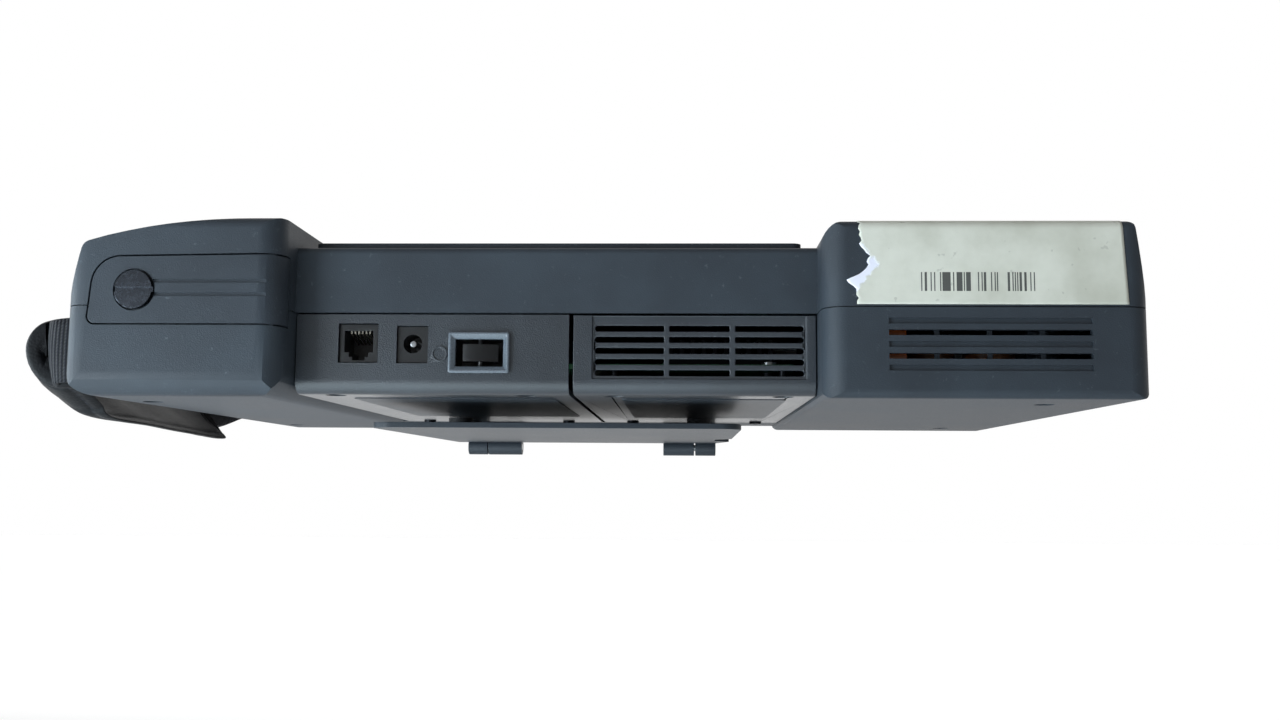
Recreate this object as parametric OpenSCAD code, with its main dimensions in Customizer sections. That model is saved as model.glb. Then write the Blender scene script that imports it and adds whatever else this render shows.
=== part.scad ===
// Rugged tablet-style data collector with a battery grip on one side and a drive housing on the other.
// Millimetres, +Z up. The user holds it from -Y; the connectors are on the rear face, +Y.
// Inside the modules X and Y are measured from the middle of the case and Z from the bottom of the
// two side housings. place() then carries everything to the published frame, standing on Z = 0.

/* [Case] */
// Overall width of the case, side to side
case_width = 357; // [350:1:390]
// Overall depth of the case, user edge to rear
case_depth = 230; // [225:1:260]
// Height where the lower and upper shells meet
part_line = 29.5; // [28.5:0.1:31]
// Wall thickness of the moulded shells
wall = 2.5; // [2.2:0.1:2.7]
// How far the rear of the middle section stands in from the side housings
rear_step = 18; // [16:0.5:20]
// Height of the deck round the display
deck_height = 52.7; // [52:0.1:54]

/* [Side housings] */
// Width of the battery grip housing
grip_width = 73; // [72:0.5:84]
// Height of the battery grip housing
grip_height = 59.7; // [58:0.1:61]
// Width of the drive housing
drive_width = 105.5; // [104:0.5:115]
// Height of the drive housing
drive_height = 58.2; // [55:0.1:60]
// Radius of the upright corners of both housings
corner_r = 8; // [6:0.5:9]

/* [Display] */
// Width of the raised display bezel
bezel_width = 169; // [160:1:170]
// Depth of the raised display bezel
bezel_depth = 185; // [180:1:186]
// Width of the visible screen
screen_width = 128; // [120:1:130]
// Depth of the visible screen
screen_depth = 170; // [160:1:172]

/* [Connectors] */
// Width of the phone plug socket
phone_width = 9.8; // [9.6:0.1:10]
// Bore of the power socket
dc_bore = 6.5; // [6:0.1:7]
// Diameter of the power socket's centre pin
dc_pin_d = 2; // [1.6:0.1:2.5]
// Width of the rocker switch bezel
switch_width = 21; // [20:0.5:22]
// Height of the rocker switch bezel
switch_height = 14; // [13.5:0.1:14.5]

/* [Battery] */
// Width of the battery pack
pack_width = 36; // [34:0.5:36.5]
// Height of the battery pack
pack_height = 18.4; // [18:0.1:18.5]
// Length of the battery pack
pack_length = 200; // [180:1:201]
// Diameter of the coin-slot screw in the battery door
coin_screw_d = 12.7; // [12:0.1:13]

/* [Stand and strap] */
// Width of the fold-out stand plate
stand_width = 136; // [126:1:137]
// Depth of the fold-out stand plate
stand_depth = 148; // [130:1:150]
// Outside diameter of the stand's hinge knuckles
knuckle_d = 7.6; // [7:0.1:8.6]
// Width of the hand strap's webbing
webbing_width = 22; // [20:0.5:23]
// Width of the hand strap's padded sleeve
pad_width = 50; // [46:1:52]

/* [Hidden] */
$fn = 48;

// Half sizes and the four faces that most parts are placed from
half_w = case_width / 2;
half_d = case_depth / 2;
grip_x = half_w - grip_width;
drive_x = -half_w + drive_width;
mid_x = (grip_x + drive_x) / 2;
cover_rear = half_d - rear_step;
deck_rear = cover_rear + 1;

// Gaps: split lines between mouldings, the line that the seal shows, a loose fit and a sliding fit
split = 0.4;
seal_line = 0.35;
loose = 0.3;
slide_fit = 0.6;

// The published frame: the middle of the box over the strap and the case, standing on the hinge knuckles
strap_reach = 41.84;
shift_x = -strap_reach / 2;
hinge_z = -10;
lift = knuckle_d / 2 - hinge_z;

// Middle section and its two bottom covers
cover_bottom = 2;
cover_t = 2.2;
cover_front = -half_d + 38.4;
cover_top = part_line - 0.2;
cover_corner = 5;
io_x0 = 11.3;
vent_x1 = 9.8;

// Height of the main board above the covers, and the board's thickness
board_z = 11.2;
board_t = 1.6;
board_top = board_z + board_t;

// Shaft of the small screws and their heads
screw_d = 3;
head_d = 5.6;
dc_root_d = dc_pin_d + 1.2;

module place() {
    translate([shift_x, 0, lift]) children();
}

// Points along a circular arc from angle a to angle b
function arc(x, y, r, a, b, n = 8) =
    r < 0.05 ? [[x, y]] : [for (i = [0:n]) [x + r * cos(a + (b - a) * i / n), y + r * sin(a + (b - a) * i / n)]];

// A rectangle with its own radius at each corner: right front, right rear, left rear, left front
function rounded(x0, y0, x1, y1, r) = concat(
    arc(x1 - r[0], y0 + r[0], r[0], -90, 0),
    arc(x1 - r[1], y1 - r[1], r[1], 0, 90),
    arc(x0 + r[2], y1 - r[2], r[2], 90, 180),
    arc(x0 + r[3], y0 + r[3], r[3], 180, 270)
);

// The same four radii for a face that lies t further in
function inner(r, t) = [for (v = r) max(v - t, 0)];

module box(x0, y0, z0, x1, y1, z1) {
    translate([x0, y0, z0]) cube([x1 - x0, y1 - y0, z1 - z0]);
}

// A flat plate standing between z0 and z1, drawn from above
module slab(points, z0, z1) {
    translate([0, 0, z0]) linear_extrude(z1 - z0) polygon(points);
}

// A shape drawn as seen from the rear (x, z) and running from y0 to y1
module prism_y(points, y0, y1) {
    translate([0, y1, 0]) rotate([90, 0, 0]) linear_extrude(y1 - y0) polygon(points);
}

// A shape drawn from the side (y, z) and running from x0 to x1
module prism_x(points, x0, x1) {
    translate([x0, 0, 0]) rotate([90, 0, 90]) linear_extrude(x1 - x0) polygon(points);
}

module rod_y(x, z, d, y0, y1) {
    translate([x, y1, z]) rotate([90, 0, 0]) cylinder(d = d, h = y1 - y0);
}

module rod_x(y, z, d, x0, x1) {
    translate([x0, y, z]) rotate([0, 90, 0]) cylinder(d = d, h = x1 - x0);
}

module rod_z(x, y, d, z0, z1) {
    translate([x, y, z0]) cylinder(d = d, h = z1 - z0);
}

module ring_z(x, y, outer, bore, z0, z1) {
    difference() {
        rod_z(x, y, outer, z0, z1);
        rod_z(x, y, bore, z0 - 1, z1 + 1);
    }
}

// A frame between two rounded rectangles
module frame_z(cx, cy, w, d, inner_w, inner_d, r, z0, z1) {
    difference() {
        slab(rounded(cx - w / 2, cy - d / 2, cx + w / 2, cy + d / 2, [r, r, r, r]), z0, z1);
        box(cx - inner_w / 2, cy - inner_d / 2, z0 - 1, cx + inner_w / 2, cy + inner_d / 2, z1 + 1);
    }
}

// A screw driven upwards: a flat head with a hexagon socket at z, and its shank above
module screw_up(x, y, z, length, d = screw_d, head = head_d) {
    difference() {
        union() {
            rod_z(x, y, head, z, z + 2);
            rod_z(x, y, d, z + 2, z + 2 + length);
        }
        translate([x, y, z - 1]) cylinder(d = head * 0.5, h = 2.2, $fn = 6);
    }
}

// ---- Outer form of the case ----
// Every form takes t, the depth below the outer skin, so that a wall is form(0) less form(wall).

// Grip housing seen from the rear: drafted outer side above the part line, and a gently crowned top
grip_draft = 5.8;
crown_r = 235;
function grip_outline(t) = concat(
    arc(grip_x + 8, 8, 8 - t, 180, 270),
    arc(half_w - 10.2, 9, 9 - t, 270, 360),
    [[half_w - t, part_line]],
    arc(half_w - grip_draft - 3.6, grip_height - 12, 4 - t, 22, 76, 4),
    arc(grip_x + 4, grip_height - crown_r, crown_r - t, 76.6, 90, 8),
    [[grip_x + t, grip_height - t]]
);

// Drive housing, mirrored so that its outer side is at +X too
drive_draft = 4.4;
function drive_outline(t) = concat(
    arc(-drive_x + 2.8, 2.8, 2.8 - t, 180, 270, 3),
    arc(half_w - 4, 4, 4 - t, 270, 360),
    [[half_w - t, part_line]],
    arc(half_w - drive_draft - 3.46, drive_height - 3.5, 3.5 - t, 9, 90, 6),
    arc(-drive_x + 7.5, drive_height - 7.5, 7.5 - t, 90, 180)
);

module grip_form(t) {
    intersection() {
        prism_y(grip_outline(t), -half_d + t, half_d - t);
        slab(rounded(grip_x + t, -half_d + t, half_w - t, half_d - t, inner([12, corner_r, corner_r, 0], t)), 0, 80);
        prism_x(rounded(-half_d + t, t, half_d - t, grip_height - t, inner([8, 4, 8, 8], t)), grip_x, half_w);
    }
}

module drive_form(t) {
    intersection() {
        mirror([1, 0, 0]) prism_y(drive_outline(t), -half_d + t, half_d - t);
        slab(rounded(-half_w + t, -half_d + t, drive_x - t, half_d - t, inner([0, corner_r, corner_r, 12], t)), 0, 80);
        prism_x(rounded(-half_d + t, t, half_d - t, drive_height - t, inner([3, 3, 8, 8], t)), -half_w, drive_x);
    }
}

// Middle section between the housings, from its bottom edge to the deck
module middle_form(t, z0) {
    prism_x(
        rounded(-half_d + t, z0, deck_rear - t, deck_height - t, inner([0, 2.6, 8, 0], t)),
        drive_x - 2 * wall, grip_x + 2 * wall
    );
}

// Bridge across the user's edge of the lower shell, which carries the stand
module front_bridge(t) {
    prism_x(
        rounded(-half_d + t, cover_bottom + t, cover_front - split - t, part_line + t, inner([0, 0, 0, 8], t)),
        drive_x - wall, grip_x + wall
    );
}

// ---- Battery door and its bay ----
bay_t = 1.2;
pack_x0 = grip_x + 4.5;
pack_x1 = pack_x0 + pack_width;
pack_z0 = 26;
pack_z1 = pack_z0 + pack_height;
pack_rear = half_d - 7;
bay_side = slide_fit + bay_t + 0.05;
door_t = 2.4;
door_gap = 0.6;
door_seat = half_d - door_t - 0.4;
door_wrap = half_d - 9.5;
coin_x = half_w - 24.2;
coin_z = 34.9;

// Door outline seen from the rear, grown by g on every side
function door_outline(g) = concat(
    [[grip_x - 1, 23.7 - g]],
    arc(half_w - 11.4, 26.1, 2.4 + g, 270, 355, 4),
    arc(half_w - 19.4, 36.6, 9.4 + g, 6, 86, 8),
    [[grip_x - 1, 46.8 + g]]
);

// Everything behind the door outline down to the given depth, with the wrap round the inner corner
module door_region(g, seat, inner_face) {
    prism_y(door_outline(g), seat, half_d + 1);
    intersection() {
        prism_y(door_outline(g), door_wrap - g, half_d);
        box(grip_x - 1, door_wrap - g, 20, grip_x + inner_face, half_d, 50);
    }
}

// Ring of mouldings behind the door that carries the coin screw's insert
module door_frame() {
    intersection() {
        grip_form(0);
        prism_y(door_outline(2.4), door_seat - 2.7, half_d);
    }
    intersection() {
        grip_form(wall);
        rod_y(coin_x, coin_z, 13, door_seat - 14, door_seat);
    }
}

module door_cuts() {
    door_region(door_gap, door_seat, wall + 0.1);
    box(pack_x0 - 0.6, door_seat - 4, pack_z0 - 0.5, pack_x1 + 0.6, half_d, pack_z1 + 0.4);
    box(
        pack_x0 - bay_side, door_seat - 20, pack_z0 - 0.5 - bay_t - 0.05,
        pack_x1 + bay_side, door_seat - 2.75, pack_z1 + 0.4 + bay_t + 0.05
    );
    rod_y(coin_x, coin_z, 9, door_seat - 13, door_seat - 1.2);
    rod_y(coin_x, coin_z, 10.4, door_seat - 1.2, door_seat + 1);
}

// ---- Screw places shared by the shells, the covers and the screws ----
case_screw_spots = [
    [-half_w + 27, half_d - 29], [-half_w + 27, -half_d + 34], [half_w - 17, half_d - 35], [half_w - 17, -half_d + 34]
];
case_screw_z = 9;
case_screw_length = 27;
cover_screw_spots = [[93, half_d - 26], [26.5, half_d - 26], [-4, half_d - 26], [-62, half_d - 26]];
cover_tab_spots = [[93, cover_front + 8], [26.5, cover_front + 8], [-4, cover_front + 8], [-62, cover_front + 8]];

module case_boss_lower() {
    for (p = case_screw_spots) rod_z(p[0], p[1], 11, 1, part_line);
}

module case_boss_upper() {
    intersection() {
        union() {
            grip_form(1);
            drive_form(1);
        }
        for (p = case_screw_spots) rod_z(p[0], p[1], 9, part_line + seal_line, 80);
    }
}

module case_screw_holes() {
    for (p = case_screw_spots) {
        rod_z(p[0], p[1], 7, -1, case_screw_z);
        rod_z(p[0], p[1], head_d + 0.4, -1, case_screw_z + 2);
        rod_z(p[0], p[1], screw_d, case_screw_z, case_screw_z + 2 + case_screw_length);
    }
}

// ---- Openings in the drive housing's rear wall: five louvre lines, two of them cut through ----
louvre_x0 = -160.5 + 180 - half_w;
louvre_x1 = -94;
louvre_top = 25.1;
louvre_pitch = 3.82;
louvre_h = 1.9;

module drive_louvres() {
    for (i = [0:4]) {
        depth = i % 2 == 1 ? wall + 1 : 0.9;
        z = louvre_top - i * louvre_pitch;
        box(louvre_x0, half_d - depth, z - louvre_h / 2, louvre_x1, half_d + 1, z + louvre_h / 2);
    }
}

// Ribs inside the two open louvres
module louvre_ribs() {
    for (x = [-144, -127, -110]) box(x - 0.8, half_d - wall - 1.6, 12, x + 0.8, half_d - wall, 24);
}

// ---- Strap slots through the grip's outer wall ----
strap_y0 = half_d - 13;
strap_y1 = -half_d + 14;
strap_z0 = 5.5;
strap_z1 = strap_z0 + webbing_width;
bar_x = half_w - 7;
bar_d = 3;
bar_z0 = 3.2;

module strap_slots() {
    for (y = [strap_y0, strap_y1]) box(half_w - wall - 1, y - 2.2, strap_z0 - 0.6, half_w + 1, y + 2.2, strap_z1 + 0.6);
}

// Sockets in the floor that hold the lower ends of the strap bars
module bar_sockets() {
    intersection() {
        grip_form(0.5);
        for (y = [strap_y0, strap_y1]) box(bar_x - 3, y - 3, 0, half_w, y + 3, strap_z0 - 0.8);
    }
}

// Cable passages between the housings and the middle section
module cable_passages(z0, z1) {
    box(drive_x - wall - 1, -24, z0, drive_x + wall + 1, 24, z1);
    box(grip_x - wall - 1, -60, z0, grip_x + wall + 1, -30, z1);
}

module seal_loop(a, b, z0, z1) {
    difference() {
        union() {
            slab(rounded(-half_w + a, -half_d + a, drive_x - a, half_d - a, inner([0, corner_r, corner_r, 12], a)), z0, z1);
            slab(rounded(grip_x + a, -half_d + a, half_w - a, half_d - a, inner([12, corner_r, corner_r, 0], a)), z0, z1);
            box(drive_x - a - 1, -half_d + a, z0, grip_x + a + 1, cover_front - split - a, z1);
        }
        slab(rounded(-half_w + b, -half_d + b, drive_x - b, half_d - b, inner([0, corner_r, corner_r, 12], b)), z0 - 1, z1 + 1);
        slab(rounded(grip_x + b, -half_d + b, half_w - b, half_d - b, inner([12, corner_r, corner_r, 0], b)), z0 - 1, z1 + 1);
        box(drive_x - b - 1, -half_d + b, z0 - 1, grip_x + b + 1, cover_front - split - b, z1 + 1);
        door_region(2.4, door_seat - 2.7, wall + 3);
    }
}

module lower_shell() {
    color("#454B54") place() difference() {
        union() {
            difference() {
                union() {
                    grip_form(0);
                    drive_form(0);
                    front_bridge(0);
                }
                grip_form(wall);
                drive_form(wall);
                front_bridge(wall);
                cable_passages(10, 60);
            }
            intersection() {
                drive_form(0);
                louvre_ribs();
            }
            door_frame();
            case_boss_lower();
            bar_sockets();
            for (p = cover_tab_spots) box(p[0] - 6, cover_front - 2, cover_bottom + cover_t + 0.1, p[0] + 6, p[1] + 5, cover_bottom + cover_t + 3);
        }
        box(-half_w - 1, -half_d - 1, part_line, half_w + 1, half_d + 1, 90);
        case_screw_holes();
        door_cuts();
        drive_louvres();
        strap_slots();
        for (y = [strap_y0, strap_y1]) rod_z(bar_x, y, bar_d, bar_z0, part_line);
        seal_loop(0.8, 1.7, part_line - 0.8, part_line + 1);
        for (p = cover_tab_spots) rod_z(p[0], p[1], screw_d, 0, 12);
        for (p = stand_screw_spots) rod_z(p[0], p[1], screw_d, 0, 12);
    }
}

module upper_shell() {
    color("#4A515A") place() difference() {
        union() {
            difference() {
                union() {
                    grip_form(0);
                    drive_form(0);
                    middle_form(0, part_line);
                }
                grip_form(wall);
                drive_form(wall);
                middle_form(wall, 0);
                box(drive_x - wall - 1, -half_d + 8, part_line - 1, grip_x + wall + 1, deck_rear - 8, deck_height - 6);
            }
            door_frame();
            case_boss_upper();
        }
        box(-half_w - 1, -half_d - 1, -10, half_w + 1, half_d + 1, part_line + seal_line);
        box(drive_x + 0.01, deck_rear, 0, grip_x - 0.01, half_d + 1, 90);
        box(mid_x - glass_width / 2 - loose, glass_y - glass_depth / 2 - loose, 0, mid_x + glass_width / 2 + loose, glass_y + glass_depth / 2 + loose, 90);
        case_screw_holes();
        door_cuts();
    }
}

module case_seal() {
    color("#222426") place() seal_loop(0.8, 1.7, part_line - 0.8, part_line + seal_line);
}

// ---- Bottom covers: each is the rear wall and the underside of half of the middle section ----
function cover_profile() = concat(
    [[cover_front, cover_bottom]],
    arc(cover_rear - cover_corner, cover_bottom + cover_corner, cover_corner, -90, 0),
    [[cover_rear, cover_top], [cover_rear - cover_t, cover_top]],
    arc(cover_rear - cover_corner, cover_bottom + cover_corner, cover_corner - cover_t, 0, -90),
    [[cover_front, cover_bottom + cover_t]]
);

// Screws are sunk into bosses that stand up inside the covers
cover_boss_top = cover_bottom + 6;
cover_seat = cover_bottom + 2.6;

module cover_bosses() {
    for (p = cover_screw_spots) rod_z(p[0], p[1], 10, cover_bottom + cover_t - 0.2, cover_boss_top);
}

module cover_screw_holes() {
    for (p = cover_screw_spots) {
        rod_z(p[0], p[1], screw_d, 0, 12);
        rod_z(p[0], p[1], head_d + 1.6, 0, cover_seat);
        rod_z(p[0], p[1], head_d + 0.4, 0, cover_seat + 2);
    }
    for (p = cover_tab_spots) {
        rod_z(p[0], p[1], screw_d, 0, 12);
        rod_z(p[0], p[1], head_d + 0.4, 0, cover_bottom + 0.9);
    }
}

// Sockets and switch: centres in x and z on the rear face, and the windows that the covers leave for them
phone_x = 83.7;
phone_z = 19.4;
phone_window = [13.7, 13.6];
dc_x = 65;
dc_z = 18.95;
dc_window = [10.8, 12.9];
switch_x = 41.95;
switch_z = 16.15;
switch_body = [18, 11.4];
// Raised ring moulded between the power socket and the switch
ring_x = 55.5;
ring_z0 = 15.8;

module rear_window(x, z, size, g, y0, y1) {
    box(x - size[0] / 2 - g, y0, z - size[1] / 2 - g, x + size[0] / 2 + g, y1, z + size[1] / 2 + g);
}

module io_cover() {
    color("#464D56") place() difference() {
        union() {
            prism_x(cover_profile(), io_x0, grip_x - split);
            intersection() {
                cover_bosses();
                box(io_x0, 0, 0, grip_x, half_d, 20);
            }
            rod_y(ring_x, ring_z0, 5.4, cover_rear - 1, cover_rear + 0.4);
        }
        rod_y(ring_x, ring_z0, 4.2, cover_rear, cover_rear + 1);
        rear_window(phone_x, phone_z, phone_window, 0, cover_rear - 4, cover_rear + 1);
        rear_window(dc_x, dc_z, dc_window, 0, cover_rear - 4, cover_rear + 1);
        rear_window(switch_x, switch_z, switch_body, 0.2, cover_rear - 4, cover_rear + 1);
        cover_screw_holes();
    }
}

// Vent slots: three columns of five in a panel let slightly into the cover
vent_columns = [[-21.1, 1.4], [-43.4, -22.9], [-67.5, -45.3]];
vent_top = 24.7;
vent_pitch = 3.8;
vent_h = 2;

module vent_cover() {
    color("#464D56") place() difference() {
        union() {
            prism_x(cover_profile(), drive_x + split, vent_x1);
            intersection() {
                cover_bosses();
                box(drive_x, 0, 0, vent_x1, half_d, 20);
            }
        }
        box(-69.3, cover_rear - 0.6, 7.5, 3.3, cover_rear + 1, cover_top - 0.3);
        for (c = vent_columns, i = [0:4]) {
            z = vent_top - i * vent_pitch;
            box(c[0], cover_rear - 4, z - vent_h / 2, c[1], cover_rear + 1, z + vent_h / 2);
        }
        for (x = [vent_columns[2][0], vent_columns[0][1]], i = [0:4]) {
            rod_y(x, vent_top - i * vent_pitch, vent_h, cover_rear - 4, cover_rear + 1);
        }
        cover_screw_holes();
    }
}

module case_screws() {
    color("#8C9096") place() for (p = case_screw_spots) screw_up(p[0], p[1], case_screw_z, case_screw_length);
}

module cover_screws() {
    color("#8C9096") place() {
        for (p = cover_screw_spots) screw_up(p[0], p[1], cover_seat, 4.4);
        for (p = cover_tab_spots) screw_up(p[0], p[1], cover_bottom - 1.1, 4.2);
    }
}

// ---- Display stack, from the bezel down ----
glass_width = screen_width + 15;
glass_depth = screen_depth + 13;
glass_y = 0.5;
glass_t = 1.8;
gasket_t = 0.7;
lcd_t = 5;
glass_z0 = deck_height - glass_t;
lcd_z1 = glass_z0 - gasket_t;
tray_t = 1.5;

module display_bezel() {
    color("#33383E") place()
        frame_z(mid_x, glass_y, bezel_width, bezel_depth, screen_width, screen_depth, 3, deck_height, deck_height + 2.2);
}

module touch_glass() {
    color("#1B1F24") place() box(
        mid_x - glass_width / 2, glass_y - glass_depth / 2, glass_z0,
        mid_x + glass_width / 2, glass_y + glass_depth / 2, deck_height
    );
}

module display_gasket() {
    color("#202224") place()
        frame_z(mid_x, glass_y, glass_width, glass_depth, screen_width + 4, screen_depth + 4, 2, lcd_z1, glass_z0);
}

module lcd_panel() {
    color("#7E8A92") place() box(
        mid_x - glass_width / 2, glass_y - glass_depth / 2, lcd_z1 - lcd_t,
        mid_x + glass_width / 2, glass_y + glass_depth / 2, lcd_z1
    );
}

tray_spots = [for (sx = [-1, 1], sy = [-1, 0, 1]) [mid_x + sx * (glass_width / 2 + 5), glass_y + sy * (glass_depth / 2 - 12)]];

module display_tray() {
    pan_z = lcd_z1 - lcd_t - tray_t;
    color("#A7ABAE") place() difference() {
        union() {
            box(
                mid_x - glass_width / 2 - 1.5, glass_y - glass_depth / 2 - 1.5, pan_z,
                mid_x + glass_width / 2 + 1.5, glass_y + glass_depth / 2 + 1.5, lcd_z1
            );
            for (p = tray_spots) box(p[0] - 5, p[1] - 6, lcd_z1 - tray_t, p[0] + 5, p[1] + 6, lcd_z1);
        }
        box(
            mid_x - glass_width / 2 - 0.01, glass_y - glass_depth / 2 - 0.01, pan_z + tray_t,
            mid_x + glass_width / 2 + 0.01, glass_y + glass_depth / 2 + 0.01, lcd_z1 + 1
        );
    }
}

module backlight_inverter() {
    top = lcd_z1 - lcd_t - tray_t;
    color("#2E6B3F") place() union() {
        box(-60, -50, top - 6, -42, 50, top - 4.8);
        for (y = [-38, -8, 22]) box(-57, y, top - 4.8, -45, y + 18, top);
    }
}

// ---- Electronics on the main board ----
module main_board() {
    color("#1F5A36") place() difference() {
        slab(rounded(-66, -74, 98, cover_rear - 4, [2, 2, 2, 2]), board_z, board_top);
        box(switch_x - 10.5, cover_rear - 22, board_z - 1, switch_x + 10.5, cover_rear, board_top + 1);
        for (p = spacer_spots) rod_z(p[0], p[1], screw_d, board_z - 1, board_top + 1);
    }
}

spacer_spots = [[-58, -54], [16, -54], [90, -54], [-58, 80], [24, 80], [92, 64]];

module board_spacers() {
    color("#B9A45E") place() for (p = spacer_spots) ring_z(p[0], p[1], 6, screw_d, cover_bottom + cover_t, board_z);
}

module board_screws() {
    color("#8C9096") place() for (p = spacer_spots) {
        rod_z(p[0], p[1], head_d, board_top, board_top + 2);
        rod_z(p[0], p[1], screw_d, board_z - 4, board_top);
    }
}

// Processor, memory, graphics, controllers and connector shells, as plain blocks: x, y, width, depth, height
chip_blocks = [
    [-58, 34, 34, 34, 2.4], [-14, 20, 28, 28, 2.2], [-14, 56, 14, 22, 1.6], [4, 56, 14, 22, 1.6],
    [24, 20, 20, 14, 2], [56, -30, 26, 20, 2], [-52, -30, 22, 22, 2.2], [-22, -44, 30, 8, 6], [60, 30, 12, 26, 8]
];

module main_chips() {
    color("#26282A") place() for (c = chip_blocks) {
        box(c[0], c[1], board_top, c[0] + c[2], c[1] + c[3], board_top + c[4]);
    }
}

// Comb of fins over the processor
module heat_sink() {
    base = board_top + 2.4;
    color("#9EA2A6") place() union() {
        box(-60, 32, base, -22, 70, base + 2);
        for (i = [0:9]) box(-60 + i * 4, 32, base + 2, -58.4 + i * 4, 70, base + 9);
    }
}

module backup_cell() {
    color("#C2C5C8") place() rod_z(34, -40, 20, board_top, board_top + 3.2);
}

// ---- Drive housing: power board near the louvres, and the shock-mounted drive ----
power_z = 7.5;

module power_board() {
    color("#2C6B45") place() union() {
        box(-145, 58, power_z, -82, 109, power_z + board_t);
        for (x = [-140, -88], y = [64, 103]) rod_z(x, y, 6, wall, power_z);
    }
}

module filter_capacitors() {
    color("#C4622A") place() for (x = [-101, -92.5]) {
        box(x, 97, power_z + board_t, x + 7, 108, 26);
    }
}

module power_coils() {
    color("#8A5A2B") place() for (x = [-134, -113]) ring_z(x, 82, 18, 8, power_z + board_t, power_z + board_t + 9);
}

drive_x0 = -168;
drive_y0 = -62;
drive_shelf = 18.5;

module hard_drive() {
    color("#A9ADB0") place() union() {
        box(drive_x0, drive_y0, drive_shelf + 1.2, drive_x0 + 70, drive_y0 + 100, drive_shelf + 9);
        box(drive_x0 + 3, drive_y0 + 3, drive_shelf + 9, drive_x0 + 67, drive_y0 + 97, drive_shelf + 10.7);
    }
}

module drive_bracket() {
    color("#B4B7B9") place() union() {
        box(drive_x0 - 2, drive_y0, drive_shelf, drive_x0 + 72, drive_y0 + 100, drive_shelf + 1.2);
        for (x = [drive_x0 + 2, drive_x0 + 62], y = [drive_y0 + 4, drive_y0 + 88]) {
            box(x, y, wall, x + 6, y + 8, drive_shelf);
        }
    }
}

// Flat cable from the main board through the passage to the drive
module ribbon_cable() {
    z0 = board_top;
    color("#B8BCC0") place() prism_y(
        [
            [-62, z0], [-56, z0], [-56, z0 + 3], [-59, z0 + 3.6], [-62, 27], [drive_x0 + 76, 27],
            [drive_x0 + 76, 28], [drive_x0 + 70, 28], [drive_x0 + 70, 22], [drive_x0 + 74, 22],
            [drive_x0 + 74, 26], [-63, 26], [-62, z0 + 3]
        ], -20, 20
    );
}

// ---- Sockets and switch on the rear face ----
jack_face = cover_rear - 1;

module phone_jack() {
    w = phone_window[0] - 0.4;
    h = phone_window[1] - 0.4;
    bottom = board_top;
    color("#1F2123") place() difference() {
        box(phone_x - w / 2, jack_face - 17, bottom, phone_x + w / 2, jack_face, phone_z + h / 2);
        box(phone_x - phone_width / 2, jack_face - 12, 16.4, phone_x + phone_width / 2, jack_face + 1, 23.8);
        box(phone_x - 3.3, jack_face - 12, 14.8, phone_x + 3.3, jack_face + 1, 17);
        box(phone_x - 2.1, jack_face - 9, 13.6, phone_x + 2.1, jack_face + 1, 15);
    }
}

// Six sprung contact wires that slope down from the roof of the socket
module phone_contacts() {
    color("#C8A24A") place() for (i = [-2.5:1:2.5]) {
        translate([phone_x + i * 1.27 - 0.25, 0, 0]) prism_x(
            [
                [jack_face - 11.9, 20.6], [jack_face - 11.9, 20.1], [jack_face - 2.2, 22.9], [jack_face - 2.2, 23.8],
                [jack_face - 2.8, 23.8], [jack_face - 2.8, 23.3]
            ], 0, 0.5
        );
    }
}

module dc_jack() {
    w = dc_window[0] - 0.4;
    h = dc_window[1] - 0.4;
    color("#1B1C1E") place() difference() {
        box(dc_x - w / 2, jack_face - 14, board_top, dc_x + w / 2, jack_face, dc_z + h / 2);
        rod_y(dc_x, dc_z + 0.3, dc_bore, jack_face - 10, jack_face + 1);
        rod_y(dc_x, dc_z + 0.3, dc_root_d, jack_face - 12, jack_face - 9);
    }
}

module dc_pin() {
    color("#D2D4D6") place() {
        rod_y(dc_x, dc_z + 0.3, dc_root_d, jack_face - 12, jack_face - 10);
        rod_y(dc_x, dc_z + 0.3, dc_pin_d, jack_face - 10, jack_face - 0.8);
    }
}

// Rocker bezel: a flange outside the cover, sloped inwards to the opening, and a body behind
switch_opening = [16.7, 8.6];
rocker_size = [12, 5.8];
rocker_pivot_y = cover_rear - 3.6;

module switch_frame() {
    color("#2B2E31") place() difference() {
        union() {
            rear_window(switch_x, switch_z, [switch_width, switch_height], 0, cover_rear, cover_rear + 1.6);
            rear_window(switch_x, switch_z, switch_body, 0, cover_rear - 17, cover_rear);
        }
        rear_window(switch_x, switch_z, switch_opening, 0, cover_rear - 2, cover_rear + 2);
        rear_window(switch_x, switch_z, [14.6, 6.4], 0, cover_rear - 13, cover_rear + 2);
        rod_z(switch_x, rocker_pivot_y, 2.2, switch_z - 5, switch_z + 5);
    }
}

// Angle at which the rocker rests: pressed in at its end nearest the vents
rocker_rest = 8;

module switch_rocker() {
    color("#17181A") place() translate([switch_x, rocker_pivot_y, switch_z]) rotate([0, 0, rocker_rest]) union() {
        intersection() {
            cube([rocker_size[0], 30, rocker_size[1]], center = true);
            translate([0, -14.6, -5]) cylinder(r = 18.4, h = 10, $fn = 96);
            translate([-10, -3, -5]) cube([20, 10, 10]);
        }
        translate([0, 0, -4.9]) cylinder(d = 2, h = 9.8);
    }
}

module switch_terminals() {
    color("#C9CBCD") place() for (x = [-5, 0, 5]) {
        box(switch_x + x - 1.2, cover_rear - 23, switch_z - 0.4, switch_x + x + 1.2, cover_rear - 17, switch_z + 0.4);
    }
}

// ---- Battery ----
bay_front = pack_rear - pack_length - 3;

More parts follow.
